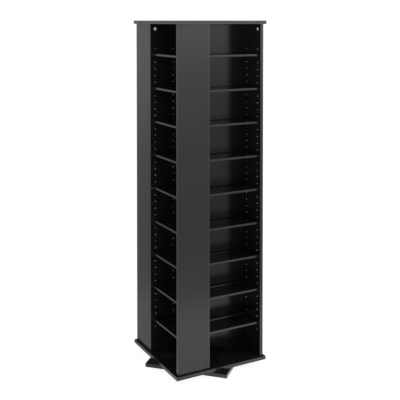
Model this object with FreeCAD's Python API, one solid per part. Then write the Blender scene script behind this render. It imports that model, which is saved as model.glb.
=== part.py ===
import FreeCAD, Part
import math
import os

# Four-sided spinning media tower. Millimetres, +Z up, origin on the floor under the spin axis.
# The carcass is a pinwheel: every side is one compartment column, closed by a back panel and
# a narrow side panel, and the next side is the same one turned a quarter about the axis.
# The south side is built first, with its open front at y = FRONT, and the others are turns of it.

# Boards
BOARD = 16.0                # laminated board of the carcass, top and bottom
OPENING_W = 274.0           # clear width between the walls of a compartment
SIDE_W = 147.0              # width of a narrow side panel, and so the depth of a compartment
OVERHANG = 10.5             # how far the top and bottom stand out past the carcass
ARRIS = 0.8                 # small bevel on the outer edges of the loose boards

# Line boring and shelves
HOLE_PITCH = 32.0           # step between holes of one row
SHELF_STEP_HOLES = 5        # hole steps from one shelf to the next
SHELVES = 9                 # adjustable shelves on each side
END_SPACE = 152.0           # from the top or bottom board to the nearest support pin
ROW_FRONT = 25.0            # front row of holes, from the open face
ROW_SPACING = 96.0          # from the front row to the rear row
HOLE_R = 2.5                # support hole
HOLE_DEPTH = 10.0
SHELF_T = 9.5
SHELF_OVERHANG = 9.5        # how far a shelf reaches past the hole rows, front and rear
SHELF_END_GAP = 2.0         # from a shelf's end to the wall

# L-shaped shelf supports
PIN_FIT = 0.1               # radial play of a pin in its hole
PIN_LENGTH = 8.0
SUPPORT_SHEET = 1.8         # thickness of the plate and the tab, down to the pin's lower flat
SUPPORT_W = 8.0
SUPPORT_ABOVE = 4.5         # plate above the pin axis
SUPPORT_REACH = 9.0         # how far the tab stands out of the wall

# Cam locks and their bolts, under the top board
CAM_R = 7.5
CAM_DEPTH = 12.5
CAM_DROP = 24.0             # cam axis below the top board
CAM_FIT = 0.15              # radial play of the cam in its pocket
BOLT_R = 2.5                # threaded end, in the top board
BOLT_THREAD = 11.0
BOLT_HEAD_R = 3.3
BOLT_HEAD_L = 5.0
BOLT_HOLE_R = 4.0           # bore that leads the bolt to its cam

# Dowels and screws
DOWEL_R = 4.0
DOWEL_L = 30.0
DOWEL_IN_FACE = 12.0        # the part of a dowel that sits in the face of a board
FIT = 0.1                   # radial play of dowels and screws in their holes
HOLE_END = 0.5              # free space past the end of a dowel, pin or screw
SCREW_R = 2.5
SCREW_L = 50.0              # through the bottom board into the panels
SCREW_TO_HOLE = 4.5         # a side panel's joint screw ends this far from the rear row
SCREW_HEAD_R = 3.5
SCREW_HEAD_T = 3.0

# Turntable
GLIDE_R = 12.5
GLIDE_T = 3.0
GLIDE_INSET = 45.0          # glide centre from the base plate's edges
BASE_W = 400.0
BASE_T = 18.0
BASE_TURN = 44.0            # how far the base plate stands turned under the tower, in degrees
RUN_GAP = 3.0               # from the base plate to the bottom board
SWIVEL_W = 230.0            # side of the two square swivel plates
SWIVEL_CORNER = 12.0        # bevel of the swivel plates' corners
SWIVEL_H = 8.0              # height of the whole swivel
SWIVEL_SHEET = 1.5
SWIVEL_HOLE_R = 40.0        # round opening in the swivel plates
POCKET_GAP = 1.5            # round the lower plate, in the base plate's pocket
RACE_R = 92.0               # middle radius of the ball ring
RACE_W = 9.0                # width of the ball ring
RACE_PLAY = 0.6             # between the ball ring and what holds it
LIP_T = 1.5                 # wall of the race lips
LIP_SHORT = 1.0             # the race lips end this far from the other plate
PLATE_SCREW_INSET = 14.0
PLATE_SCREW_R = 1.8
PLATE_SCREW_L = 10.0        # in the wood
PLATE_SCREW_HEAD_R = 3.6
PLATE_SCREW_HEAD_T = 1.0

# Flats that stand for a round form, few where the part is small or repeats often
PIN_SIDES = 4               # pins, shanks and their bores
SMALL_SIDES = 6             # dowels, and the heads of screws and bolts
ROUND_SIDES = 12            # cams and glides
RING_SIDES = 30             # the ball race
SIDES = ("south", "east", "north", "west")

# Places that follow from the sizes
STEP = HOLE_PITCH * SHELF_STEP_HOLES
PANEL_H = 2 * END_SPACE + (SHELVES - 1) * STEP
BODY = SIDE_W + 2 * BOARD + OPENING_W
HALF = BODY / 2
FRONT = -HALF
LEFT = -HALF + SIDE_W + BOARD
RIGHT = HALF - BOARD
BACK = FRONT + SIDE_W
BASE_TOP = GLIDE_T + BASE_T
BOTTOM_Z = BASE_TOP + RUN_GAP
PANEL_Z = BOTTOM_Z + BOARD
PANEL_TOP = PANEL_Z + PANEL_H
TOP_Z = PANEL_TOP + BOARD
MIDDLE_Z = PANEL_Z + PANEL_H / 2
POCKET_Z = BOTTOM_Z - SWIVEL_H
ROWS = (FRONT + ROW_FRONT, FRONT + ROW_FRONT + ROW_SPACING)
LEVELS = [PANEL_TOP - END_SPACE - k * STEP for k in range(SHELVES)]
JOINT_SCREW_L = BOARD + SIDE_W - ROW_FRONT - ROW_SPACING - HOLE_R - SCREW_TO_HOLE
SIDE_MID = RIGHT + BOARD / 2
BACK_MID = BACK + BOARD / 2
# On a back panel the same rows lie in its rear face, measured from the next side's front.
BACK_ROWS = [-row for row in ROWS]

X = FreeCAD.Vector(1, 0, 0)
Y = FreeCAD.Vector(0, 1, 0)
Z = FreeCAD.Vector(0, 0, 1)
ORIGIN = FreeCAD.Vector(0, 0, 0)


def at(x, y, z):
    return FreeCAD.Vector(x, y, z)


def block(x0, x1, y0, y1, z0, z1):
    """A box between two corners."""
    return Part.makeBox(x1 - x0, y1 - y0, z1 - z0, at(x0, y0, z0))


def square(side, z0, z1):
    """A square board centred on the axis."""
    return block(-side / 2, side / 2, -side / 2, side / 2, z0, z1)


def rod(radius, start, direction, length, sides=SMALL_SIDES):
    """A prism with flats round its axis, from start along direction."""
    across = Z if abs(direction.z) < 0.5 else X
    other = direction.cross(across)
    turns = [2 * math.pi * (k + 0.5) / sides for k in range(sides)]
    ring = [start + across * (radius * math.cos(a)) + other * (radius * math.sin(a)) for a in turns]
    return Part.Face(Part.makePolygon(ring + ring[:1])).extrude(direction * length)


def disc(radius, z0, z1):
    """A plug about the spin axis, with flats round it."""
    return rod(radius, at(0, 0, z0), Z, z1 - z0, RING_SIDES)


def round_hole(radius, z0, z1):
    """A true round opening about the spin axis."""
    return Part.makeCylinder(radius, z1 - z0, at(0, 0, z0))


def bevelled(board, size, edges=None):
    """The board with its edges, or those given, taken off by a small bevel."""
    return board.makeChamfer(size, edges or board.Edges)


def turned(shape, degrees):
    """A copy of the shape turned about the spin axis."""
    copy = shape.copy()
    copy.rotate(ORIGIN, Z, degrees)
    return copy


def all_sides(shapes):
    """The shapes of the south side, repeated on the four sides."""
    return [turned(shape, 90 * k) for k in range(len(SIDES)) for shape in shapes]


def save(name, shape):
    shape.exportStep("parts/" + name + ".step")


def save_group(name, shapes):
    save(name, Part.makeCompound(shapes))


def dowel(joint, into_face):
    """A dowel across a joint, its short part pointing along into_face, and its hole."""
    body = rod(DOWEL_R, joint - into_face * (DOWEL_L - DOWEL_IN_FACE), into_face, DOWEL_L)
    start = joint - into_face * (DOWEL_L - DOWEL_IN_FACE + HOLE_END)
    return body, rod(DOWEL_R + FIT, start, into_face, DOWEL_L + 2 * HOLE_END)


def screw(face, inward, length):
    """A panel screw with its flat head flush with the face, and its hole."""
    head = rod(SCREW_HEAD_R, face, inward, SCREW_HEAD_T)
    body = head.fuse(rod(SCREW_R, face, inward, length, PIN_SIDES)).removeSplitter()
    bore = rod(SCREW_R + FIT, face, inward, length + HOLE_END, PIN_SIDES)
    return body, bore.fuse(rod(SCREW_HEAD_R + FIT, face, inward, SCREW_HEAD_T + FIT))


def cam_and_bolt(face, inward):
    """A cam flush with a panel's face, the bolt that it draws, its pocket and the bolt's hole."""
    cam = rod(CAM_R, face, inward, CAM_DEPTH, ROUND_SIDES)
    axis = face + inward * (BOARD / 2)
    channel = rod(BOLT_HOLE_R, axis - Z * BOLT_HOLE_R, Z, CAM_DROP + BOLT_HOLE_R)
    head = rod(BOLT_HEAD_R, axis - Z * (BOLT_HEAD_L / 2), Z, BOLT_HEAD_L)
    bolt = head.fuse(rod(BOLT_R, axis, Z, CAM_DROP + BOLT_THREAD, PIN_SIDES)).removeSplitter()
    pocket = rod(CAM_R + CAM_FIT, face, inward, CAM_DEPTH + HOLE_END, ROUND_SIDES)
    thread = rod(BOLT_R + FIT, axis, Z, CAM_DROP + BOLT_THREAD + HOLE_END, PIN_SIDES)
    return cam.cut(channel), bolt, pocket.fuse(channel), thread


def support(wall_x, row, level, outward):
    """An L-shaped shelf support: its tab carries the shelf at the height of its pin's axis, and
    the pin goes into the wall along outward."""
    def along(reach):
        return wall_x - outward * reach

    def sheet(near, far, z0, z1):
        x0, x1 = sorted((along(near), along(far)))
        return block(x0, x1, row - SUPPORT_W / 2, row + SUPPORT_W / 2, z0, z1)

    plate = sheet(0, SUPPORT_SHEET, level - SUPPORT_SHEET, level + SUPPORT_ABOVE)
    tab = sheet(0, SUPPORT_REACH, level - SUPPORT_SHEET, level)
    pin = rod(HOLE_R - PIN_FIT, at(wall_x, row, level), X * outward, PIN_LENGTH, PIN_SIDES)
    return plate.fuse([tab, pin]).removeSplitter()


def support_holes(face_of, inward, rows):
    """The bores that carry the shelves, in a wall whose face point is face_of(row, level)."""
    return [rod(HOLE_R, face_of(row, level), inward, HOLE_DEPTH, PIN_SIDES)
            for row in rows for level in LEVELS]


def shelf(level):
    """One shelf, resting on the tabs of its supports."""
    return block(LEFT + SHELF_END_GAP, RIGHT - SHELF_END_GAP, ROWS[0] - SHELF_OVERHANG,
                 ROWS[1] + SHELF_OVERHANG, level, level + SHELF_T)


# Fasteners of the south side
cam_row = ROWS[0]
side_cam = cam_and_bolt(at(RIGHT, cam_row, PANEL_TOP - CAM_DROP), X)
back_cam = cam_and_bolt(at(-cam_row, BACK + BOARD, PANEL_TOP - CAM_DROP), -Y)
cams = [side_cam, back_cam]
dowel_points = [(SIDE_MID, ROWS[1]), (BACK_ROWS[1], BACK_MID)]
dowels = [dowel(at(x, y, PANEL_TOP), Z) for x, y in dowel_points]
dowels += [dowel(at(x, y, PANEL_Z), -Z) for x, y in dowel_points]
side_screw = screw(at(SIDE_MID, BACK + BOARD, MIDDLE_Z), -Y, JOINT_SCREW_L)
core_screw = screw(at(HALF - SIDE_W - BOARD / 2, BACK, MIDDLE_Z), Y, JOINT_SCREW_L)
joint_screws = [side_screw, core_screw]
screw_points = [(SIDE_MID, cam_row), (-cam_row, BACK_MID)]
bottom_screws = [screw(at(x, y, BOTTOM_Z), Z, SCREW_L) for x, y in screw_points]

# Spaces that the fasteners of all sides need, cut from every board that they reach
cam_spaces = all_sides([pocket for _, _, pocket, _ in cams])
thread_spaces = all_sides([thread for _, _, _, thread in cams])
dowel_spaces = all_sides([space for _, space in dowels])
screw_spaces = all_sides([space for _, space in bottom_screws + joint_screws])


def fitted(board, spaces):
    """The board without the spaces that reach it."""
    near = [space for space in spaces if space.BoundBox.intersect(board.BoundBox)]
    return board.cut(near).removeSplitter()


def side_panel():
    """The narrow wall on the right of the south opening, bored on its inner face."""
    board = block(RIGHT, HALF, FRONT, BACK, PANEL_Z, PANEL_TOP)
    bores = support_holes(lambda row, level: at(RIGHT, row, level), X, ROWS)
    return fitted(board, bores + cam_spaces + dowel_spaces + screw_spaces)


def back_panel():
    """The wide board behind the south opening. Its rear face is the next side's left wall."""
    rear = BACK + BOARD
    board = block(LEFT, HALF, BACK, rear, PANEL_Z, PANEL_TOP)
    bores = support_holes(lambda row, level: at(row, rear, level), -Y, BACK_ROWS)
    return fitted(board, bores + cam_spaces + dowel_spaces + screw_spaces)


def swivel_plate(z0, lip_radius, lip_z0, lip_z1):
    """A square plate with a round opening and one lip of the ball race."""
    plate = square(SWIVEL_W, z0, z0 + SWIVEL_SHEET)
    corners = [edge for edge in plate.Edges if edge.BoundBox.ZLength > SWIVEL_SHEET / 2]
    plate = bevelled(plate, SWIVEL_CORNER, corners)
    plate = plate.cut(round_hole(SWIVEL_HOLE_R, z0, z0 + SWIVEL_SHEET))
    lip = disc(lip_radius + LIP_T, lip_z0, lip_z1).cut(disc(lip_radius, lip_z0, lip_z1))
    return plate.fuse(lip).removeSplitter()


def ball_ring(z0, z1):
    """The balls and their cage as one ring, which rolls between the lips of the two plates."""
    return disc(RACE_R + RACE_W / 2, z0, z1).cut(round_hole(RACE_R - RACE_W / 2, z0, z1))


def plate_screws(face_z, into_wood):
    """The screws of one swivel plate, with heads on its free face, and the holes for them."""
    reach = SWIVEL_W / 2 - PLATE_SCREW_INSET
    corners = [(sx * reach, sy * reach) for sx in (-1, 1) for sy in (-1, 1)]
    solids, spaces = [], []
    for x, y in corners:
        start = at(x, y, face_z)
        head = rod(PLATE_SCREW_HEAD_R, start, -into_wood, PLATE_SCREW_HEAD_T)
        length = SWIVEL_SHEET + PLATE_SCREW_L
        shank = rod(PLATE_SCREW_R, start, into_wood, length, PIN_SIDES)
        solids.append(head.fuse(shank).removeSplitter())
        spaces.append(rod(PLATE_SCREW_R + FIT, start, into_wood, length + HOLE_END, PIN_SIDES))
    return solids, spaces


def base_plate(screw_holes):
    """The square board on the floor, with a pocket for the lower half of the swivel."""
    board = bevelled(square(BASE_W, GLIDE_T, BASE_TOP), ARRIS)
    pocket = square(SWIVEL_W + 2 * POCKET_GAP, POCKET_Z, BASE_TOP)
    return board.cut([pocket] + screw_holes)


def glides():
    """The four plastic glides under the base plate's corners."""
    reach = BASE_W / 2 - GLIDE_INSET
    return [rod(GLIDE_R, at(sx * reach, sy * reach, 0), Z, GLIDE_T, ROUND_SIDES)
            for sx in (-1, 1) for sy in (-1, 1)]


os.makedirs("parts", exist_ok=True)

# Turntable: the base and the lower half of the swivel stand turned under the tower
lower_top = POCKET_Z + SWIVEL_SHEET
upper_under = BOTTOM_Z - SWIVEL_SHEET
outer_lip = RACE_R + RACE_W / 2 + RACE_PLAY
inner_lip = RACE_R - RACE_W / 2 - RACE_PLAY - LIP_T
lower_screws, lower_holes = plate_screws(lower_top, -Z)
upper_screws, upper_holes = plate_screws(upper_under, Z)
lower_plate = swivel_plate(POCKET_Z, outer_lip, lower_top, upper_under - LIP_SHORT).cut(lower_holes)
upper_plate = swivel_plate(upper_under, inner_lip, lower_top + LIP_SHORT, upper_under).cut(upper_holes)
save("base_plate", turned(base_plate(lower_holes), BASE_TURN))
save_group("base_glides", [turned(glide, BASE_TURN) for glide in glides()])
save("swivel_lower_plate", turned(lower_plate, BASE_TURN))
save_group("lower_plate_screws", [turned(solid, BASE_TURN) for solid in lower_screws])
save("swivel_ball_ring", ball_ring(lower_top + RACE_PLAY, upper_under - RACE_PLAY))
save("swivel_upper_plate", upper_plate)
save_group("upper_plate_screws", upper_screws)

# Top and bottom boards
cover = BODY + 2 * OVERHANG
bottom = bevelled(square(cover, BOTTOM_Z, PANEL_Z), ARRIS)
save("bottom_panel", fitted(bottom, dowel_spaces + screw_spaces + upper_holes))
save("top_panel", fitted(bevelled(square(cover, PANEL_TOP, TOP_Z), ARRIS), dowel_spaces + thread_spaces))

# Walls and shelves of the four sides
one_side_panel, one_back_panel = side_panel(), back_panel()
one_column = [shelf(level) for level in LEVELS]
for k, side in enumerate(SIDES):
    save("side_panel_" + side, turned(one_side_panel, 90 * k))
    save("back_panel_" + side, turned(one_back_panel, 90 * k))
    for number, board in enumerate(one_column, 1):
        save("shelf_%s_%d" % (side, number), turned(board, 90 * k))

# Fittings, one group of separate solids for each kind
supports = [support(wall, row, level, outward)
            for wall, outward in ((LEFT, -1), (RIGHT, 1)) for row in ROWS for level in LEVELS]
save_group("shelf_supports", all_sides(supports))
save_group("cam_locks", all_sides([cam for cam, _, _, _ in cams]))
save_group("cam_bolts", all_sides([bolt for _, bolt, _, _ in cams]))
save_group("wood_dowels", all_sides([body for body, _ in dowels]))
save_group("joint_screws", all_sides([body for body, _ in joint_screws]))
save_group("bottom_screws", all_sides([body for body, _ in bottom_screws]))
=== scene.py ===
# %% [markdown]
# # A turning media tower
# The real object is a tall square tower of black laminated board. It holds a column of
# compartments on each of its four sides and spins on a swivel above a square base board. The
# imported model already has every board, shelf and fitting in its place, so this lesson dresses that
# frame: it makes the finished boards, the rows of bored holes, the fittings and the finishes, and
# rides each piece on the body that carries it.

# %% Load the frame
import math

import bpy
from mathutils import Matrix, Vector


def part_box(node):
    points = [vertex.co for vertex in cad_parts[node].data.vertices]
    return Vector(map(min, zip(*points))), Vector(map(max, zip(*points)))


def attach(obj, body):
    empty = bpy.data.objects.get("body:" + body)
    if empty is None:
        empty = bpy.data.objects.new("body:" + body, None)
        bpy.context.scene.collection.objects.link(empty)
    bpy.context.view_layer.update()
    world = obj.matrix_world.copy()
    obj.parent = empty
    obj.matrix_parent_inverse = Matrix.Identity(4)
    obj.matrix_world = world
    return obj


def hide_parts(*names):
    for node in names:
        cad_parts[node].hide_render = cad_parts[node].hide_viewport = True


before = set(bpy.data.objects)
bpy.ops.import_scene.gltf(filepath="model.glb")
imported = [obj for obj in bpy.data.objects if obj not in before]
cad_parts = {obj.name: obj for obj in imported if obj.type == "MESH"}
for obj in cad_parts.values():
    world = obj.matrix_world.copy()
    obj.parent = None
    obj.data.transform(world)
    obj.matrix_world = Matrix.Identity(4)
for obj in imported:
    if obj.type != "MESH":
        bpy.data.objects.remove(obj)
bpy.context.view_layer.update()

SIDES = ("south", "east", "north", "west")

# %% [markdown]
# ## Sizes
# The frame gives the place of every board. What it doesn't give are the rows of free holes.
# Cabinet makers bore them at a pitch of 32 mm, in two rows that stand three pitches apart, and the
# shelves sit on every fifth hole. All sizes follow from the boards of the south side, because that
# side is modelled first and the other three are turns of it.

# %% Sizes in metres
PITCH = 0.032
FIRST_HOLE = 0.120          # the top hole, below the top board
ROW_FRONT = 0.025           # the front row, behind the front edge
ROW_SPACING = 3 * PITCH

side_low, side_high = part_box("side_panel_south")
back_low, back_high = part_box("back_panel_south")
board = side_high.x - side_low.x
panel_bottom, panel_top = side_low.z, side_high.z
front, rear_face = side_low.y, back_high.y
rows = (front + ROW_FRONT, front + ROW_FRONT + ROW_SPACING)
top_hole = panel_top - FIRST_HOLE
print("board %.3f, panel %.3f to %.3f, top hole %.3f"
      % (board, panel_bottom, panel_top, top_hole))

# %% [markdown]
# ## The camera
# It stands at the height of the top board and looks slightly down, so the top is seen edge on. A
# camera tilted further down would make the upright edges lean together. So the tilt stays small,
# and the lens is shifted down instead to take in the base.

# %% Camera
EYE = (-1.7575, -3.2402, 1.6397)
TILT_DOWN = 1.58            # degrees below level
HEADING = 28.6              # degrees from north towards east
LENS = 68.5
LENS_SHIFT = -0.396
camera_data = bpy.data.cameras.new("studio_camera")
camera_data.lens = LENS
camera_data.sensor_width = 36.0
camera_data.shift_y = LENS_SHIFT
camera_data.dof.use_dof = False
camera = bpy.data.objects.new("studio_camera", camera_data)
camera.location = EYE
camera.rotation_euler = (math.radians(90 - TILT_DOWN), 0, math.radians(-HEADING))
bpy.context.scene.collection.objects.link(camera)
bpy.context.scene.camera = camera
bpy.context.scene.view_settings.view_transform = "Standard"
print("camera", EYE, "lens", camera_data.lens)

# %% [markdown]
# ## Node tools
# Every finish is made of nodes. They could be placed by hand in the shader editor, but in code two
# short helpers keep the later cells readable: one adds a node with its settings, the other links
# two sockets.

# %% Node helpers
def node(tree, kind, **settings):
    """Adds a node. A setting that isn't the node's own is the name of an input socket."""
    made = tree.nodes.new("ShaderNode" + kind)
    for key, value in settings.items():
        if hasattr(made, key):
            setattr(made, key, value)
        else:
            made.inputs[key.replace("_", " ")].default_value = value
    return made


def link(tree, out_socket, in_socket):
    tree.links.new(out_socket, in_socket)


def new_group(name, inputs, outputs):
    """A shader node group with named sockets; gives its tree and its two end nodes."""
    tree = bpy.data.node_groups.new(name, "ShaderNodeTree")
    for label, kind, default in inputs:
        socket = tree.interface.new_socket(label, in_out="INPUT", socket_type="NodeSocket" + kind)
        if default is not None:
            socket.default_value = default
    for label, kind in outputs:
        tree.interface.new_socket(label, in_out="OUTPUT", socket_type="NodeSocket" + kind)
    return tree, tree.nodes.new("NodeGroupInput"), tree.nodes.new("NodeGroupOutput")


print("node helpers ready")

# %% [markdown]
# ## Pressed grain
# Melamine laminate is pressed against a faintly pebbled plate, so its gloss is never quite even. A
# fine noise gives that grain. It is a node group, because every laminate uses it, each at its own
# scale.

# %% Grain group
grain, grain_in, grain_out = new_group(
    "pressed_grain",
    [("Vector", "Vector", None), ("Scale", "Float", 900.0)],
    [("Height", "Float")])
pebbles = node(grain, "TexNoise", Detail=2.0, Roughness=0.5)
link(grain, grain_in.outputs["Vector"], pebbles.inputs["Vector"])
link(grain, grain_in.outputs["Scale"], pebbles.inputs["Scale"])
link(grain, pebbles.outputs["Fac"], grain_out.inputs["Height"])
print("group", grain.name)

# %% [markdown]
# ## Hand marks
# A large dark face that has been carried and wiped is cloudy: some patches are duller than others.
# A broad, slightly bent noise runs the roughness between a low and a high value, and the same noise
# comes out a second time to cloud the colour.

# %% Marks group
marks, marks_in, marks_out = new_group(
    "hand_marks",
    [("Vector", "Vector", None), ("Scale", "Float", 6.0),
     ("Low", "Float", 0.15), ("High", "Float", 0.25)],
    [("Roughness", "Float"), ("Cloud", "Float")])
cloud = node(marks, "TexNoise", Detail=4.0, Roughness=0.55, Distortion=0.4)
spread = node(marks, "MapRange", From_Min=0.3, From_Max=0.7)
link(marks, marks_in.outputs["Vector"], cloud.inputs["Vector"])
link(marks, marks_in.outputs["Scale"], cloud.inputs["Scale"])
link(marks, cloud.outputs["Fac"], spread.inputs["Value"])
link(marks, marks_in.outputs["Low"], spread.inputs["To Min"])
link(marks, marks_in.outputs["High"], spread.inputs["To Max"])
link(marks, spread.outputs["Result"], marks_out.inputs["Roughness"])
link(marks, cloud.outputs["Fac"], marks_out.inputs["Cloud"])
print("group", marks.name)

# %% [markdown]
# ## Settled dust
# Dust lies only on faces that look up, in loose specks. The group multiplies two masks: a fine
# noise that keeps its brightest specks, and the upward part of the face's normal.

# %% Dust group
dust, dust_in, dust_out = new_group(
    "settled_dust",
    [("Vector", "Vector", None), ("Scale", "Float", 260.0), ("Amount", "Float", 0.5)],
    [("Mask", "Float")])
specks = node(dust, "TexNoise", Detail=6.0, Roughness=0.7)
sparse = node(dust, "MapRange", From_Min=0.48, From_Max=0.75)
facing = node(dust, "NewGeometry")
split = node(dust, "SeparateXYZ")
upward = node(dust, "MapRange", From_Min=0.5, From_Max=0.95)
both = node(dust, "Math", operation="MULTIPLY")
scaled = node(dust, "Math", operation="MULTIPLY")
link(dust, dust_in.outputs["Vector"], specks.inputs["Vector"])
link(dust, dust_in.outputs["Scale"], specks.inputs["Scale"])
link(dust, specks.outputs["Fac"], sparse.inputs["Value"])
link(dust, facing.outputs["Normal"], split.inputs["Vector"])
link(dust, split.outputs["Z"], upward.inputs["Value"])
link(dust, sparse.outputs["Result"], both.inputs[0])
link(dust, upward.outputs["Result"], both.inputs[1])
link(dust, both.outputs["Value"], scaled.inputs[0])
link(dust, dust_in.outputs["Amount"], scaled.inputs[1])
link(dust, scaled.outputs["Value"], dust_out.inputs["Mask"])
print("group", dust.name)

# %% [markdown]
# ## Material tools
# A finish is one material with its own Principled shader. What is the same all over a surface, such
# as how strong its gloss is, is set on the shader's own sockets. What changes over the surface
# comes from the groups above, or from a mix of two colours, so these three steps get helpers.

# %% Material helpers
def new_material(name, **shader_values):
    """A material, its tree and its Principled shader, whose constants are set on its sockets."""
    material = bpy.data.materials.new(name)
    material.use_nodes = True
    tree = material.node_tree
    shader = tree.nodes["Principled BSDF"]
    for key, value in shader_values.items():
        shader.inputs[key.replace("_", " ")].default_value = value
    return material, tree, shader


def mix_colour(tree, first, second):
    """A mix of two colours; gives its factor, its first colour's socket and its result."""
    mixer = node(tree, "Mix", data_type="RGBA")
    inputs = {socket.identifier: socket for socket in mixer.inputs}
    inputs["A_Color"].default_value, inputs["B_Color"].default_value = first, second
    return inputs["Factor_Float"], inputs["A_Color"], mixer.outputs[2]


def use_group(tree, group, **values):
    """Places a group in a material, reading Object coordinates."""
    placed = tree.nodes.new("ShaderNodeGroup")
    placed.node_tree = group
    for key, value in values.items():
        placed.inputs[key.replace("_", " ")].default_value = value
    link(tree, node(tree, "TexCoord").outputs["Object"], placed.inputs["Vector"])
    return placed


print("material helpers ready")

# %% [markdown]
# ## Black laminate
# The boards are a deep neutral black with the gloss of a satin plastic. A grey paint would be the
# quick way, but it stays grey from every side. A real black board looks grey only where it mirrors
# a bright room, and black where it mirrors another board, so the colour here is nearly black and
# the gloss does the rest.

# %% Laminate maker
GRAIN_HEIGHT = 0.0002
DUST = (0.30, 0.29, 0.27, 1.0)


def laminate(name, colour, cloud_colour, gloss=(0.17, 0.23), specular=0.5, bump=0.06,
             grain_scale=900.0, dust_amount=0.02):
    """A black board finish: colour cloud, settled dust, uneven gloss and pressed grain."""
    material, tree, shader = new_material(name, IOR=1.5, Specular_IOR_Level=specular)
    sheen = use_group(tree, marks, Low=gloss[0], High=gloss[1])
    settled = use_group(tree, dust, Amount=dust_amount)
    pressed = use_group(tree, grain, Scale=grain_scale)
    cloud_amount, _, clouded = mix_colour(tree, colour, cloud_colour)
    dust_mask, under_dust, dusted = mix_colour(tree, colour, DUST)
    relief = node(tree, "Bump", Strength=bump, Distance=GRAIN_HEIGHT)
    link(tree, sheen.outputs["Cloud"], cloud_amount)
    link(tree, clouded, under_dust)
    link(tree, settled.outputs["Mask"], dust_mask)
    link(tree, dusted, shader.inputs["Base Color"])
    link(tree, sheen.outputs["Roughness"], shader.inputs["Roughness"])
    link(tree, pressed.outputs["Height"], relief.inputs["Height"])
    link(tree, relief.outputs["Normal"], shader.inputs["Normal"])
    return material


print("laminate maker ready, dust", DUST[:3])

# %% [markdown]
# ## The tower's black finishes, with painted light and shade
# All the boards are one black laminate, and the outer faces are the glossiest. The backs of the
# compartments and the shelf tops are a darker copy that reflects a little less: painted shade. The
# walls are a touch paler: painted light. The floor of the lowest compartments is a darker, dull
# copy: painted shade at the foot of the boards. The edge band is a strip of the same colour with a
# coarser grain from the saw and the scraper, and round the top board it is palest: painted light.
# The base board has dull black paint on its top.

# %% Laminate materials
# painted shade: the darkest black, for the compartments' backs, the shelf tops and the bottom
# board's top; the base board's dull paint uses it as well
INNER_BLACK = (0.0025, 0.0025, 0.0026, 1.0)
BLACK = (0.0060, 0.0060, 0.0062, 1.0)
# this paler black also colours the compartments' walls, where it is painted light, and the edge band
BLACK_CLOUD = (0.0080, 0.0079, 0.0080, 1.0)
BAND_DEEP = (0.010, 0.010, 0.011, 1.0)
BAND = (0.012, 0.012, 0.013, 1.0)
BAND_CLOUD = (0.016, 0.016, 0.017, 1.0)
# painted light: the palest band colours, for the top board's edges
LIT_TOP_BAND = (0.030, 0.031, 0.033, 1.0)
LIT_TOP_BAND_CLOUD = (0.039, 0.040, 0.043, 1.0)
SCRAPED = 1400.0            # the scale of the band's coarser grain

black_laminate = laminate("black_laminate", BLACK, BLACK_CLOUD)
# painted shade: a darker copy of the laminate for the compartments' backs and the shelf tops
inner_laminate_painted_shade = laminate("inner_laminate_painted_shade", INNER_BLACK, BLACK, specular=0.335)
# painted light: a paler copy of the laminate for the compartments' walls
wall_laminate_painted_light = laminate("wall_laminate_painted_light", BLACK_CLOUD, BAND_DEEP)
edge_band = laminate("black_edge_band", BLACK_CLOUD, BAND_DEEP, specular=0.53, bump=0.08,
                     grain_scale=SCRAPED)
pale_band = laminate("dull_edge_band", BAND, BAND_CLOUD, gloss=(0.20, 0.27), bump=0.10,
                     grain_scale=SCRAPED)
dull_black = laminate("dull_black_paint", INNER_BLACK, BLACK, gloss=(0.50, 0.62), specular=0.095,
                      bump=0.20, grain_scale=700.0, dust_amount=0.01)
# painted shade: a darker, dull copy for the bottom board's top, at the foot of the boards
floor_laminate_painted_shade = laminate("floor_laminate_painted_shade", INNER_BLACK, BLACK_CLOUD, gloss=(0.40, 0.50),
                          specular=0.15, bump=0.10, dust_amount=0.01)
# painted light: the band round the top board is the palest
top_band_painted_light = laminate("top_edge_band_painted_light", LIT_TOP_BAND, LIT_TOP_BAND_CLOUD, gloss=(0.26, 0.34), bump=0.10,
                    grain_scale=SCRAPED)
print("laminates", [finish.name for finish in (black_laminate, inner_laminate_painted_shade, wall_laminate_painted_light,
                                               floor_laminate_painted_shade, dull_black)])
print("bands", [finish.name for finish in (edge_band, pale_band, top_band_painted_light)])

# %% [markdown]
# ## Raw board
# Where a hole is bored, the pale chips of the board show. Cells of a Voronoi pattern, each a chip,
# run between two wood colours and give the chips their relief. The same recipe with a noise suits
# metal and plastic, so it is a function of its colours, its texture and its gloss.

# %% Raw chipboard
RELIEF_HEIGHT = 0.0003


def two_tone(name, first, second, texture, texture_scale, gloss, bump=0.1, **shader_values):
    """A finish that runs between two colours and two gloss levels after one texture."""
    material, tree, shader = new_material(name, **shader_values)
    place = node(tree, "TexCoord")
    stretch = node(tree, "Mapping", Scale=texture_scale)
    amount, _, colour = mix_colour(tree, first, second)
    sheen = node(tree, "MapRange", To_Min=gloss[0], To_Max=gloss[1])
    relief = node(tree, "Bump", Strength=bump, Distance=RELIEF_HEIGHT)
    pattern = node(tree, texture)
    value = pattern.outputs["Distance" if texture == "TexVoronoi" else "Fac"]
    link(tree, place.outputs["Object"], stretch.inputs["Vector"])
    link(tree, stretch.outputs["Vector"], pattern.inputs["Vector"])
    link(tree, value, amount)
    link(tree, value, sheen.inputs["Value"])
    link(tree, value, relief.inputs["Height"])
    link(tree, colour, shader.inputs["Base Color"])
    link(tree, sheen.outputs["Result"], shader.inputs["Roughness"])
    link(tree, relief.outputs["Normal"], shader.inputs["Normal"])
    return material


raw_board = two_tone("raw_chipboard", (0.70, 0.68, 0.64, 1), (0.54, 0.51, 0.47, 1), "TexVoronoi",
                     (180, 180, 180), gloss=(0.7, 0.9), bump=0.3)
print("finish", raw_board.name)
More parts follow.
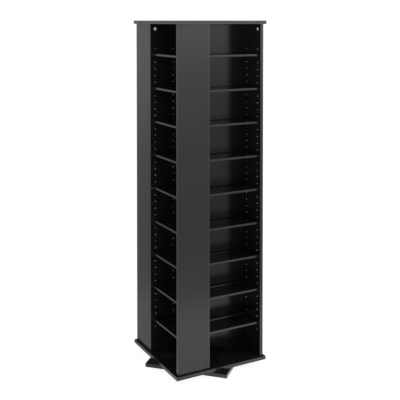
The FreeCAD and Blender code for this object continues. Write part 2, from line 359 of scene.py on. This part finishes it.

# %% [markdown]
# ## Metals, plastic and wood
# The cams are pale zinc castings; their nearly white, matt, non-metal colour partly paints in the
# light that they catch. The screws and the swivel plates are zinc plated, with the crystal patches
# that plating leaves. The shelf supports are coated black, the glides are moulded plastic, and the
# dowels are plain beech, whose pattern is stretched along the dowel to give its dark flecks.

# %% Metal, plastic and wood materials
# partly painted light: the cams' near-white colour stands for the light that they catch
zinc_cast_painted_light = two_tone("zinc_casting_painted_light", (0.96, 0.96, 0.95, 1), (0.90, 0.90, 0.89, 1), "TexNoise",
                     (60, 60, 60), gloss=(0.30, 0.42), Metallic=0.0)
zinc_plate = two_tone("zinc_plating", (0.62, 0.62, 0.60, 1), (0.46, 0.47, 0.47, 1), "TexVoronoi",
                      (25, 25, 25), gloss=(0.25, 0.42), bump=0.02, Metallic=1.0)
screw_steel = two_tone("screw_steel", (0.45, 0.45, 0.44, 1), (0.30, 0.30, 0.30, 1), "TexNoise",
                       (110, 110, 110), gloss=(0.30, 0.50), Metallic=1.0)
black_coat = two_tone("black_coated_sheet", (0.020, 0.020, 0.020, 1), (0.030, 0.030, 0.030, 1),
                      "TexNoise", (420, 420, 420), gloss=(0.30, 0.42), IOR=1.5)
glide_plastic = two_tone("glide_plastic", (0.020, 0.020, 0.021, 1), (0.035, 0.035, 0.035, 1),
                         "TexNoise", (300, 300, 300), gloss=(0.45, 0.65), IOR=1.46)
beech = two_tone("beech_dowel", (0.62, 0.44, 0.26, 1), (0.44, 0.28, 0.15, 1), "TexNoise",
                 (300, 300, 24), gloss=(0.55, 0.75), bump=0.15)
print("finishes", [finish.name for finish in (zinc_cast_painted_light, zinc_plate, screw_steel, black_coat,
                                              glide_plastic, beech)])

# %% [markdown]
# ## Starting a piece
# Each piece starts as a primitive at its place. Its object is brought back to the origin at once,
# so that from then on a point of its mesh is a point of the tower. Everything is deselected first,
# because an operator acts on all that is selected.

# %% Start helpers
def only(piece):
    """Makes a piece the one selected and active object."""
    bpy.ops.object.select_all(action="DESELECT")
    bpy.context.view_layer.objects.active = piece
    piece.select_set(True)


def start(kind, name, place, scale=(1, 1, 1), turn=(0, 0, 0), **settings):
    """Adds a primitive of a size at a place and applies its transform to its mesh."""
    bpy.ops.object.select_all(action="DESELECT")
    getattr(bpy.ops.mesh, "primitive_%s_add" % kind)(location=place, rotation=turn, **settings)
    piece = bpy.context.object
    piece.name = piece.data.name = name
    piece.scale = scale
    bpy.ops.object.transform_apply(location=True, rotation=True, scale=True)
    return piece


def start_block(name, low, high):
    """A block between two corners."""
    low, high = Vector(low), Vector(high)
    return start("cube", name, (low + high) / 2, scale=high - low, size=1)


print("start helpers ready")

# %% [markdown]
# ## Shaping a piece
# Faces are picked in code, by where they lie or which way they look, and then worked on in edit
# mode as by hand. Modifiers are applied as soon as they are set. A cut made by a boolean modifier
# keeps the finish of its cutter, so a bored hole can show raw board.

# %% Shape helpers
def pick_faces(piece, wanted):
    """Opens edit mode with the faces selected for which wanted(centre, normal) is true."""
    only(piece)
    bpy.ops.object.mode_set(mode="EDIT")
    bpy.ops.mesh.select_mode(type="FACE")
    bpy.ops.mesh.select_all(action="DESELECT")
    bpy.ops.object.mode_set(mode="OBJECT")
    for face in piece.data.polygons:
        face.select = bool(wanted(face.center, face.normal))
    bpy.ops.object.mode_set(mode="EDIT")


def draw_out(offset):
    """Extrudes the selected faces by an offset."""
    bpy.ops.mesh.extrude_region_move(TRANSFORM_OT_translate={"value": offset})


def round_edges(width):
    """Rounds every edge of the selected faces and closes edit mode."""
    bpy.ops.mesh.bevel(offset=width, segments=2, affect="EDGES")
    bpy.ops.object.mode_set(mode="OBJECT")


def apply_modifier(piece, kind, **settings):
    """Adds a modifier, sets it and applies it."""
    only(piece)
    bpy.ops.object.modifier_add(type=kind)
    modifier = piece.modifiers[-1]
    for key, value in settings.items():
        setattr(modifier, key, value)
    bpy.ops.object.modifier_apply(modifier=modifier.name)


def cut(piece, cutter):
    """Takes a cutter out of a piece. The walls of the cut keep the cutter's finish."""
    apply_modifier(piece, "BOOLEAN", operation="DIFFERENCE", solver="EXACT",
                   material_mode="TRANSFER", object=cutter)
    bpy.data.objects.remove(cutter, do_unlink=True)


def repeat(piece, count, step):
    """Repeats a piece along a straight step."""
    apply_modifier(piece, "ARRAY", count=count, use_relative_offset=False,
                   use_constant_offset=True, constant_offset_displace=step)


print("shape helpers ready")

# %% [markdown]
# ## Copying and finishing a piece
# What repeats is modelled once. A copy could share its mesh with the first, but each one here gets
# a mesh of its own, moved to its place, so that every object can stay at the origin. At the end a
# piece rides on the body that carries it, and the nodes of the frame that it stands for are hidden.

# %% Copy and finish helpers
def copy_of(piece, name, matrix):
    """A copy with a mesh of its own, moved by the matrix."""
    twin = piece.copy()
    twin.data = piece.data.copy()
    twin.name = twin.data.name = name
    twin.data.transform(matrix)
    bpy.context.scene.collection.objects.link(twin)
    return twin


def quarter(k):
    """The turn from the south side to side k."""
    return Matrix.Rotation(math.radians(90 * k), 4, "Z")


def join(pieces, name):
    """Joins pieces into one."""
    only(pieces[0])
    for piece in pieces:
        piece.select_set(True)
    bpy.ops.object.join()
    pieces[0].name = pieces[0].data.name = name
    return pieces[0]


def dress(piece, *finishes):
    """Gives a piece its finishes, one material slot each."""
    piece.data.materials.clear()
    for finish in finishes:
        piece.data.materials.append(finish)


def refinish(piece, finish, wanted):
    """Gives one more finish to the faces for which wanted(normal) is true."""
    piece.data.materials.append(finish)
    for face in piece.data.polygons:
        if wanted(face.normal):
            face.material_index = len(piece.data.materials) - 1


def settle(piece, body, slot, *nodes):
    """Rides a piece on its body and hides the frame's nodes that it stands for. The slot is not
    used.
    """
    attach(piece, body)
    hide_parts(*nodes)


print("copy and finish helpers ready")

# %% [markdown]
# ## A finished board
# A laminated board has two large faces and four narrow banded edges, and its edges are eased so
# that they don't cut. The block is rounded all along its edges first, because holes that are cut
# afterwards stay crisp, as a drill leaves them. The thin direction tells the faces from the edges.

# %% Board maker
EASE = 0.0006
FACING = 0.9                # a face looks along an axis if its normal has more than this there


def make_board(name, low, high, ease=EASE, band=edge_band):
    """A board with eased edges, laminate on its faces and band on its edges."""
    piece = start_block(name, low, high)
    pick_faces(piece, lambda centre, normal: True)
    round_edges(ease)
    dress(piece, black_laminate, band)
    size = Vector(high) - Vector(low)
    thin = min(range(3), key=lambda axis: size[axis])
    for face in piece.data.polygons:
        face.material_index = 0 if abs(face.normal[thin]) > FACING else 1
    return piece


print("board maker ready, edges eased by", EASE)

# %% [markdown]
# ## The drill
# The holes could be dark dots painted on the board, but then they would show no depth from the
# side. So they are really bored. One round cutter at the topmost hole is repeated down the row and
# then across to the second row, the way a line-boring machine drives its whole head of drills at
# once. It widens at its mouth, where a drill chips the laminate, and it wears the raw board finish.

# %% Hole cutter
HOLES = 43
HOLE_R = 0.0025
HOLE_DEPTH = 0.010
HOLE_FACETS = 12
CHIP = 0.0002               # the chipped rim of a hole
POCKET_FACETS = 24


def drill_rows(mouth, facing, across):
    """The cutter for both rows. mouth is the top front hole, across leads to the rear row."""
    drill = start("cylinder", "drill", (0, 0, -(HOLE_DEPTH + CHIP) / 2), vertices=HOLE_FACETS,
                  radius=HOLE_R, depth=HOLE_DEPTH - CHIP)
    pick_faces(drill, lambda centre, normal: normal.z > FACING)
    draw_out((0, 0, CHIP))
    bpy.ops.transform.resize(value=(1 + CHIP / HOLE_R,) * 3, center_override=(0, 0, 0))
    draw_out((0, 0, CHIP))
    bpy.ops.object.mode_set(mode="OBJECT")
    drill.data.transform(Matrix.Translation(mouth) @ facing)
    dress(drill, raw_board)
    repeat(drill, HOLES, (0, 0, -PITCH))
    repeat(drill, 2, across)
    return drill


def pocket(mouth, turn, radius, depth):
    """The cutter for a round pocket. It stands out of the face as far as it goes in."""
    cutter = start("cylinder", "pocket", mouth, turn=turn, vertices=POCKET_FACETS, radius=radius,
                   depth=2 * depth)
    dress(cutter, raw_board)
    return cutter


ALONG_X = (0, math.radians(90), 0)
ALONG_Y = (math.radians(90), 0, 0)
FACE_LEFT = Matrix.Rotation(math.radians(-90), 4, "Y")     # +Z turned to -X
FACE_REAR = Matrix.Rotation(math.radians(-90), 4, "X")     # +Z turned to +Y
FACE_FRONT = Matrix.Rotation(math.radians(90), 4, "X")     # +Z turned to -Y
print("drill", HOLES, "holes in each of two rows")

# %% [markdown]
# ## The four narrow side boards
# Each closes a compartment column on its right. Its inner face is bored, and near its top it has
# the round pocket of a cam lock. It stops a hair short of the wide board behind it, which leaves
# the fine dark seam of a butt joint.

# %% South side board
SEAM = 0.0008
CAM_DROP = 0.024            # the cam's centre, below the top board
CAM_POCKET_R = 0.00765
CAM_POCKET_DEPTH = 0.0128
cam_height = panel_top - CAM_DROP

side_board = make_board("side_board_south", side_low, side_high - Vector((0, SEAM, 0)))
cut(side_board, drill_rows((side_low.x, rows[0], top_hole), FACE_LEFT, (0, ROW_SPACING, 0)))
cut(side_board, pocket((side_low.x, rows[0], cam_height), ALONG_X,
                       CAM_POCKET_R, CAM_POCKET_DEPTH))
print("side board faces", len(side_board.data.polygons))

# %% [markdown]
# ## The four wide boards
# Each is the back of one compartment and, past the corner, the left wall of the next, so its holes
# are on its rear face. A joint screw is sunk in that face at half height, where it holds the side
# board, and a second one in the front face, where it holds the next wide board, which butts
# against this one from behind. Each face has its own finish: the front face, a compartment's back,
# is darker with painted shade, and the rear face, a wall, is paler with painted light.

# %% South wide board
SCREW_POCKET_R = 0.0036
SCREW_POCKET_DEPTH = 0.0032
screw_line = side_high.x - board / 2
core_line = side_high.x - (side_high.y - side_low.y) - board / 2
middle = (panel_bottom + panel_top) / 2

wide_board = make_board("wide_board_south", back_low, back_high)
# the front face gets painted shade and the rear face painted light
refinish(wide_board, inner_laminate_painted_shade, lambda normal: normal.y < -FACING)
refinish(wide_board, wall_laminate_painted_light, lambda normal: normal.y > FACING)
cut(wide_board, drill_rows((-rows[0], rear_face, top_hole), FACE_REAR, (-ROW_SPACING, 0, 0)))
cut(wide_board, pocket((-rows[0], rear_face, cam_height), ALONG_Y,
                       CAM_POCKET_R, CAM_POCKET_DEPTH))
for x, y in ((screw_line, rear_face), (core_line, back_low.y)):
    cut(wide_board, pocket((x, y, middle), ALONG_Y, SCREW_POCKET_R, SCREW_POCKET_DEPTH))
print("wide board faces", len(wide_board.data.polygons))

# %% [markdown]
# ## The pinwheel
# Seen from above, the eight upright boards form a pinwheel of four equal quarters. An array round
# an empty could turn them, but then the four would be one piece. Copies keep one board to a piece,
# as on the real tower.

# %% Turn the boards to the other sides
for k, side in enumerate(SIDES):
    for source, label, node_name in ((side_board, "side_board_", "side_panel_"),
                                     (wide_board, "wide_board_", "back_panel_")):
        twin = source if k == 0 else copy_of(source, label + side, quarter(k))
        settle(twin, "tower", "black_laminate", node_name + side)
print("upright boards", 2 * len(SIDES))

# %% [markdown]
# ## The shelves
# Thirty-six thin boards, all alike. An array would be quicker, but it would make one piece of them,
# and each shelf lifts out on its own. So the first one is eased and banded, with a darker, less
# glossy top of painted shade, and the rest are copies, each with its own mesh, set down on its own
# level.

# %% Shelves
SHELF_LEVELS = 9
SHELF_STEP = 5 * PITCH
SHELF_EASE = 0.0005
first_low, first_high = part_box("shelf_south_1")
first_shelf = make_board("shelf_board_south_1", first_low, first_high, ease=SHELF_EASE,
                         band=pale_band)
# painted shade: the shelf's top gets the darker copy of the laminate
refinish(first_shelf, inner_laminate_painted_shade, lambda normal: normal.z > FACING)
shelf_boards = [first_shelf]
for k, side in enumerate(SIDES):
    for number in range(1, SHELF_LEVELS + 1):
        if (k, number) != (0, 1):
            drop = Matrix.Translation((0, 0, -(number - 1) * SHELF_STEP))
            shelf_boards.append(copy_of(first_shelf, "shelf_board_%s_%d" % (side, number),
                                        quarter(k) @ drop))
        settle(shelf_boards[-1], "tower", "shelf_laminate", "shelf_%s_%d" % (side, number))
print("shelves", len(shelf_boards))

# %% [markdown]
# ## Top and bottom
# The top and bottom boards stand out past the carcass all round. One could be a copy of the other,
# but each has finishes of its own, so both come from the board maker. The top one has the palest
# band, which is painted light, and the bottom one has the darker, dull floor of the lowest
# compartments, which is painted shade at the foot of the boards.

# %% Top and bottom boards
# the top board's palest band is painted light
top_board = make_board("top_board", *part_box("top_panel"), band=top_band_painted_light)
bottom_board = make_board("bottom_board", *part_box("bottom_panel"), band=pale_band)
# painted shade on the bottom board's top
refinish(bottom_board, floor_laminate_painted_shade, lambda normal: normal.z > FACING)
settle(top_board, "tower", "black_laminate", "top_panel")
settle(bottom_board, "tower", "black_laminate", "bottom_panel")
print("top board faces", len(top_board.data.polygons))

# %% [markdown]
# ## The base board
# It lies turned under the tower, so its corners show, and a shallow square pocket in its upper face
# takes the swivel. A pocket can be cut by a boolean, but an inset pushed down gives the same with
# cleaner faces. The board is made square to the tower and then turned about the axis.

# %% Base board
BASE_W = 0.400
BASE_TURN = 44.0
BASE_EASE = 0.0016
SWIVEL_POCKET_W = 0.233
base_low, base_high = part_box("base_plate")
swivel_low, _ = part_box("swivel_lower_plate")
base_board = make_board("base_board", (-BASE_W / 2, -BASE_W / 2, base_low.z),
                        (BASE_W / 2, BASE_W / 2, base_high.z), ease=BASE_EASE)
pick_faces(base_board, lambda centre, normal: normal.z > FACING)
bpy.ops.mesh.inset(thickness=(BASE_W - SWIVEL_POCKET_W) / 2)
draw_out((0, 0, swivel_low.z - base_high.z))
bpy.ops.object.mode_set(mode="OBJECT")
refinish(base_board, dull_black, lambda normal: abs(normal.z) > FACING)
base_board.data.transform(Matrix.Rotation(math.radians(BASE_TURN), 4, "Z"))
settle(base_board, "base", "black_laminate", "base_plate")
print("base top", round(base_high.z, 4), "pocket floor", round(swivel_low.z, 4))

# %% [markdown]
# ## A round fitting with a cross slot
# Cam locks and screw heads share one shape: a short cylinder whose face has a thin rim, a shallow
# dish inside it, and a cross slot for the screwdriver. A bump could only hint at the slot, and up
# close it would stay flat, so two crossed bars are cut out of the face. The fitting is made at the
# origin, facing up, and then laid into its seats.

# %% Fitting maker
FLAT = 0.99                 # tells the flat of a face from its rounded edge
SECOND_BAR = 0.999          # the second bar of the cross is a hair shorter
SMOOTH_BELOW = math.radians(35)


def cross_bars(long, wide, deep):
    """Two crossed bars, standing half above the face at height zero."""
    return [start_block("bar", (-a / 2, -b / 2, -deep), (a / 2, b / 2, deep))
            for a, b in ((long, wide), (wide, long * SECOND_BAR))]


def fastener_face(name, radius, depth, rim, dish, facets, slot, finish):
    """A round fitting, facing up at height zero, with a rim, a dish and a cross slot."""
    piece = start("cylinder", name, (0, 0, -depth / 2), vertices=facets, radius=radius,
                  depth=depth)
    pick_faces(piece, lambda centre, normal: abs(normal.z) > FACING)
    round_edges(rim / 3)
    pick_faces(piece, lambda centre, normal: normal.z > FLAT)
    bpy.ops.mesh.inset(thickness=rim)
    draw_out((0, 0, -dish))
    bpy.ops.object.mode_set(mode="OBJECT")
    dress(piece, finish)
    for bar in cross_bars(*slot):
        dress(bar, finish)
        cut(piece, bar)
    only(piece)
    bpy.ops.object.shade_smooth_by_angle(angle=SMOOTH_BELOW)
    return piece


def lay(piece, name, seats):
    """Copies a fitting to its seats on all four sides and joins the copies."""
    copies = [copy_of(piece, name, quarter(k) @ Matrix.Translation(place) @ facing)
              for k in range(len(SIDES)) for place, facing in seats]
    bpy.data.objects.remove(piece, do_unlink=True)
    return join(copies, name)


print("fitting maker ready")

# %% [markdown]
# ## Cam locks
# A cam lock is a short zinc cylinder that lies flush in its pocket and pulls a bolt of the top
# board tight. The installer turns it with a screwdriver until it holds, so the slots don't all stop
# at one angle, and the two kinds of board get an angle each.

# %% Cam locks
CAM_R = 0.0074
CAM_DEPTH = 0.0124
CAM_RIM = 0.0009
CAM_DISH = 0.0003
CAM_FACETS = 32
CAM_SLOT = (0.0080, 0.0014, 0.0022)     # long, wide, deep
SIDE_CAM_TURN = Matrix.Rotation(math.radians(20), 4, "Z")
WIDE_CAM_TURN = Matrix.Rotation(math.radians(50), 4, "Z")

cam = fastener_face("cam", CAM_R, CAM_DEPTH, CAM_RIM, CAM_DISH, CAM_FACETS, CAM_SLOT, zinc_cast_painted_light)
cam_seats = [((side_low.x, rows[0], cam_height), FACE_LEFT @ SIDE_CAM_TURN),
             ((-rows[0], rear_face, cam_height), FACE_REAR @ WIDE_CAM_TURN)]
cams = lay(cam, "cam_discs", cam_seats)
settle(cams, "tower", "cam_zinc", "cam_locks")
print("cam faces", len(cams.data.polygons))

# %% [markdown]
# ## Joint screws
# The screws that hold the pinwheel together have small sunk heads, and only the heads show. Each
# gets a short plain shank, which goes into the board, in place of a thread that nobody sees.

# %% Joint screws
SCREW_R = 0.0035
SCREW_HEAD = 0.0030
SCREW_RIM = 0.0003
SCREW_DISH = 0.0001
SCREW_FACETS = 20
SCREW_SLOT = (0.0036, 0.0008, 0.0014)   # long, wide, deep
SHANK_R = 0.0023
SHANK_LENGTH = 0.010
SHANK_MIDDLE = -0.0075
SHANK_FACETS = 12

screw = fastener_face("screw", SCREW_R, SCREW_HEAD, SCREW_RIM, SCREW_DISH, SCREW_FACETS,
                      SCREW_SLOT, screw_steel)
shank = start("cylinder", "shank", (0, 0, SHANK_MIDDLE), vertices=SHANK_FACETS, radius=SHANK_R,
              depth=SHANK_LENGTH)
dress(shank, screw_steel)
screw = join([screw, shank], "screw")
screw_seats = [((screw_line, rear_face, middle), FACE_REAR),
               ((core_line, back_low.y, middle), FACE_FRONT)]
joint_screws = lay(screw, "joint_screw_heads", screw_seats)
settle(joint_screws, "tower", "screw_steel", "joint_screws")
print("screw faces", len(joint_screws.data.polygons))

# %% [markdown]
# ## Shelf supports
# Under each end of a shelf two small bent angles hang on pins in the holes. An angle is a plate
# against the wall; its foot is pulled out of the plate's lower strip to make the tab that carries
# the shelf. One is modelled on the right wall and then repeated, down the levels and back to the
# rear row, because an array is quicker than 18 placed by hand and can't go astray.

# %% Shelf supports
SHEET = 0.0018
SUPPORT_W = 0.008
SUPPORT_ABOVE = 0.0045
TAB_REACH = 0.009
SHEET_EASE = 0.00025
PIN_R = 0.0024
PIN_LENGTH = 0.008
PIN_FACETS = 10
wall = side_low.x
top_level = top_hole - PITCH        # of the topmost shelf's underside
angle = start_block("support", (wall - SHEET, rows[0] - SUPPORT_W / 2, top_level - SHEET),
                    (wall, rows[0] + SUPPORT_W / 2, top_level + SUPPORT_ABOVE))
pick_faces(angle, lambda centre, normal: True)
bpy.ops.mesh.bisect(plane_co=(wall, rows[0], top_level), plane_no=(0, 0, 1))
bpy.ops.object.mode_set(mode="OBJECT")
pick_faces(angle, lambda centre, normal: normal.x < -FACING and centre.z < top_level)
draw_out((SHEET - TAB_REACH, 0, 0))
bpy.ops.object.mode_set(mode="OBJECT")
apply_modifier(angle, "BEVEL", width=SHEET_EASE, segments=1, limit_method="ANGLE")
pin = start("cylinder", "pin", (wall + PIN_LENGTH / 2, rows[0], top_level), turn=ALONG_X,
            vertices=PIN_FACETS, radius=PIN_R, depth=PIN_LENGTH)
right_support = join([angle, pin], "supports")
dress(right_support, black_coat)
repeat(right_support, SHELF_LEVELS, (0, 0, -SHELF_STEP))
repeat(right_support, 2, (0, ROW_SPACING, 0))
print("one wall's support faces", len(right_support.data.polygons))

# %% [markdown]
# ## Supports on every wall
# The left wall of a compartment is the mirror image of the right one, and the next side is a
# quarter turn away. Mirroring turns a shape inside out, so its normals are flipped back. All the
# supports are joined into one piece, because the frame keeps them in one node.

# %% Mirror and turn the supports
centre_x = (wall + back_low.x) / 2
mirror = Matrix.Translation((2 * centre_x, 0, 0)) @ Matrix.Scale(-1, 4, (1, 0, 0))
left_support = copy_of(right_support, "supports_left", mirror)
left_support.data.flip_normals()
column = join([right_support, left_support], "column_supports")
turned = [copy_of(column, "supports", quarter(k)) for k in range(1, len(SIDES))]
supports = join([column] + turned, "shelf_angles")
settle(supports, "tower", "black_metal", "shelf_supports")
print("support faces", len(supports.data.polygons))

# %% [markdown]
# ## Fittings that stay as they are
# The swivel, the glides, the bolts, dowels and wood screws already have their right shape in the
# frame. They could be modelled again, but the boards hide nearly all of them. So they only get
# their finishes here, in the material slots that they came with.

# %% Finishes for the frame's own fittings
FRAME_FINISHES = {
    "swivel_lower_plate": zinc_plate, "swivel_upper_plate": zinc_plate,
    "swivel_ball_ring": zinc_cast_painted_light, "base_glides": glide_plastic, "wood_dowels": beech,
    "cam_bolts": screw_steel, "bottom_screws": screw_steel, "lower_plate_screws": screw_steel,
    "upper_plate_screws": screw_steel}
for name, finish in FRAME_FINISHES.items():
    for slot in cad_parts[name].material_slots:
        slot.material = finish
print("frame fittings", len(FRAME_FINISHES))

# %% [markdown]
# ## The brighter side of the room
# Black gloss shows little of its own, so what it mirrors matters. A real studio isn't even: the
# soft boxes stand on one side, they light the floor by the tower, and the walls behind them are
# bright. Lamps could do this, but they would leave highlights of their own shape. Here the floor
# and the world simply have a level that depends on the side, and these helpers work it out.

# %% Side and level helpers
KEY_SIDE = (0.48, -0.88, 0.0)       # from the tower towards the soft boxes


def side_gain(tree, direction, far_side, key_side):
    """A factor that runs from far_side, away from the soft boxes, to key_side, towards them."""
    turned = node(tree, "VectorMath", operation="DOT_PRODUCT")
    turned.inputs[1].default_value = KEY_SIDE
    gain = node(tree, "MapRange", From_Min=-1.0, From_Max=1.0, To_Min=far_side, To_Max=key_side)
    link(tree, direction, turned.inputs[0])
    link(tree, turned.outputs["Value"], gain.inputs["Value"])
    return gain.outputs["Result"]


def times(tree, first, second):
    """The product of a socket and a socket or number."""
    product = node(tree, "Math", operation="MULTIPLY")
    link(tree, first, product.inputs[0])
    if isinstance(second, float):
        product.inputs[1].default_value = second
    else:
        link(tree, second, product.inputs[1])
    return product.outputs["Value"]


def plus(tree, first, second):
    """The sum of two sockets."""
    total = node(tree, "Math", operation="ADD")
    link(tree, first, total.inputs[0])
    link(tree, second, total.inputs[1])
    return total.outputs["Value"]


print("key side", KEY_SIDE)

# %% [markdown]
# ## How bright the floor is, by distance
# The tower's upright faces mirror the floor: low on the tower the floor close by, and near the top
# the floor far off. The soft boxes light a pool round the tower. Past a metre or so the floor falls
# off quickly, and it rises again towards the bright walls. A colour ramp on the logarithm of the
# distance holds that course, once for the side of the soft boxes and once for the far side.

# %% Floor glow by distance
GLOW_SCALE = 2.0                    # a ramp's colours stop at 1, so the levels are stored halved
NEAREST, FURTHEST = 0.25, 32.0      # metres from the axis, the two ends of the ramps
KEY_FLOOR = ((0.25, 1.245), (0.92, 1.224), (1.35, 0.60), (2.60, 0.415), (6.40, 0.495),
             (12.7, 0.66), (32.0, 0.62))
FAR_FLOOR = ((0.25, 0.324), (0.90, 0.293), (1.33, 0.115), (2.50, 0.103), (5.0, 0.128),
             (10.7, 0.315), (18.0, 0.44), (32.0, 0.42))


def glow_ramp(tree, reach, stops):
    """A level that follows the distance from the axis, from (distance, level) stops."""
    octave = node(tree, "Math", operation="LOGARITHM")
    octave.inputs[1].default_value = 2.0
    scale = node(tree, "MapRange", From_Min=math.log2(NEAREST), From_Max=math.log2(FURTHEST))
    ramp = node(tree, "ValToRGB")
    elements = ramp.color_ramp.elements
    while len(elements) < len(stops):
        elements.new(1.0)
    for element, (distance, level) in zip(elements, stops):
        element.position = math.log2(distance / NEAREST) / math.log2(FURTHEST / NEAREST)
        element.color = (level / GLOW_SCALE,) * 3 + (1.0,)
    link(tree, reach, octave.inputs[0])
    link(tree, octave.outputs["Value"], scale.inputs["Value"])
    link(tree, scale.outputs["Result"], ramp.inputs["Fac"])
    return times(tree, ramp.outputs["Color"], GLOW_SCALE)


print("ramp stops", len(KEY_FLOOR), "and", len(FAR_FLOOR))

# %% [markdown]
# ## The floor's colour
# A pale, faintly cloudy paint. Light that falls on the floor bounces off this paint. The camera
# sees a darker one, to which the next cell adds a glow, so that the floor is white to the camera
# except where the tower shades it most. Gloss sees a darker paint too, because its own glow follows
# the distance.

# %% Floor and its colour
FLOOR_R = 40.0
FLOOR_Z = -0.0004                   # just under the glides
PALE, PALE_CLOUD = (0.86, 0.86, 0.86, 1), (0.90, 0.90, 0.90, 1)
PLAIN_PALE = (0.88, 0.88, 0.88, 1)
MIRRORED_PAINT = (0.29, 0.29, 0.29, 1)
SEEN_PAINT = (0.10, 0.10, 0.10, 1)
floor = start("circle", "studio_floor", (0, 0, FLOOR_Z), vertices=96, radius=FLOOR_R,
              fill_type="NGON")
floor_paint, tree, shader = new_material("pale_floor", Roughness=0.9)
speckle = use_group(tree, marks, Scale=3.0, Low=0.80, High=0.95)
ray = node(tree, "LightPath")
gloss_ray = plus(tree, ray.outputs["Is Glossy Ray"], ray.outputs["Is Transmission Ray"])
cloudy, _, pale = mix_colour(tree, PALE, PALE_CLOUD)
mirrored, pale_in, lit_colour = mix_colour(tree, PLAIN_PALE, MIRRORED_PAINT)
seen, lit_in, seen_colour = mix_colour(tree, PLAIN_PALE, SEEN_PAINT)
link(tree, speckle.outputs["Cloud"], cloudy)
link(tree, pale, pale_in)
link(tree, gloss_ray, mirrored)
link(tree, lit_colour, lit_in)
link(tree, ray.outputs["Is Camera Ray"], seen)
link(tree, seen_colour, shader.inputs["Base Color"])
link(tree, speckle.outputs["Roughness"], shader.inputs["Roughness"])
dress(floor, floor_paint)
print("floor", floor.name, "radius", FLOOR_R)

# %% [markdown]
# ## The floor's glow
# For the camera the glow is one even level, just under white. For gloss it is the ramp of the key
# side and the ramp of the far side, shared out by direction, with a painted shadow right under the
# base board.
# The pool of light is a little warmer than the floor beyond it.

# %% Floor glow
CAMERA_GLOW = 0.93
# painted shadow: the mirrored floor's glow fades out under the base board
SHADE_IN, SHADE_OUT = 0.19, 0.27    # under the base board the mirrored floor is dark
POOL_IN, POOL_OUT = 0.92, 1.35      # the rim of the pool of light
POOL_TINT = (1.0, 0.895, 0.92, 1)
BEYOND_TINT = (1.0, 0.945, 0.945, 1)
WHITE = (1, 1, 1, 1)
place = node(tree, "TexCoord")
from_axis = node(tree, "VectorMath", operation="LENGTH")
outward = node(tree, "VectorMath", operation="NORMALIZE")
base_shade = node(tree, "MapRange", From_Min=SHADE_IN, From_Max=SHADE_OUT)
close = node(tree, "MapRange", From_Min=POOL_IN, From_Max=POOL_OUT, To_Min=1.0, To_Max=0.0)
link(tree, place.outputs["Object"], from_axis.inputs[0])
link(tree, place.outputs["Object"], outward.inputs[0])
reach = from_axis.outputs["Value"]
link(tree, reach, base_shade.inputs["Value"])
link(tree, reach, close.inputs["Value"])

toward = side_gain(tree, outward.outputs["Vector"], 0.0, 1.0)
away = side_gain(tree, outward.outputs["Vector"], 1.0, 0.0)
pool = plus(tree, times(tree, glow_ramp(tree, reach, KEY_FLOOR), toward),
            times(tree, glow_ramp(tree, reach, FAR_FLOOR), away))
# painted shadow: the pool of light is darkened under the base board
pool = times(tree, pool, base_shade.outputs["Result"])
glow = plus(tree, times(tree, ray.outputs["Is Camera Ray"], CAMERA_GLOW),
            times(tree, pool, gloss_ray))
nearness, _, mirror_tint = mix_colour(tree, BEYOND_TINT, POOL_TINT)
white_seen, tint_in, glow_colour = mix_colour(tree, WHITE, WHITE)
link(tree, close.outputs["Result"], nearness)
link(tree, mirror_tint, tint_in)
link(tree, ray.outputs["Is Camera Ray"], white_seen)
link(tree, glow_colour, shader.inputs["Emission Color"])
link(tree, glow, shader.inputs["Emission Strength"])
print("floor nodes", len(tree.nodes))

# %% [markdown]
# ## Room light
# The world lights the tower softly from all round, as large soft boxes do, and lamps aren't
# needed. It is brightest in a low band, where the lit walls stand, and overhead, and its side away
# from the soft boxes is dimmer and the whole a little cool. The camera sees plain white.

# %% Room light
WALL_LEVEL = 2.0                    # at the horizon
WALL_TOP = 0.30                     # the sine of the angle at which the lit walls end
LOW_SKY, HIGH_SKY = 0.30, 1.70
HIGH_FROM = 0.75                    # the sine of the angle above which the ceiling is even
FAR_WALL = 0.345                    # the far side's level, as a share of the key side's
ROOM_TINT = (0.955, 0.985, 0.985, 1)
world = bpy.data.worlds.new("white_studio")
bpy.context.scene.world = world
world.use_nodes = True
room = world.node_tree
sky = room.nodes["Background"]
look = node(room, "TexCoord")
parts = node(room, "SeparateXYZ")
horizon = node(room, "MapRange", From_Max=WALL_TOP, To_Min=WALL_LEVEL, To_Max=0.0)
overhead = node(room, "MapRange", From_Max=HIGH_FROM, To_Min=LOW_SKY, To_Max=HIGH_SKY)
eye_ray = node(room, "LightPath")
shown = node(room, "Mix", data_type="FLOAT")
shown.inputs["B"].default_value = 1.0
link(room, look.outputs["Generated"], parts.inputs["Vector"])
link(room, parts.outputs["Z"], horizon.inputs["Value"])
link(room, parts.outputs["Z"], overhead.inputs["Value"])
level = plus(room, horizon.outputs["Result"], overhead.outputs["Result"])
level = times(room, level, side_gain(room, look.outputs["Generated"], FAR_WALL, 1.0))
white_shown, _, room_colour = mix_colour(room, ROOM_TINT, WHITE)
link(room, eye_ray.outputs["Is Camera Ray"], shown.inputs["Factor"])
link(room, level, shown.inputs["A"])
link(room, shown.outputs["Result"], sky.inputs["Strength"])
link(room, eye_ray.outputs["Is Camera Ray"], white_shown)
link(room, room_colour, sky.inputs["Color"])
print("room", world.name)
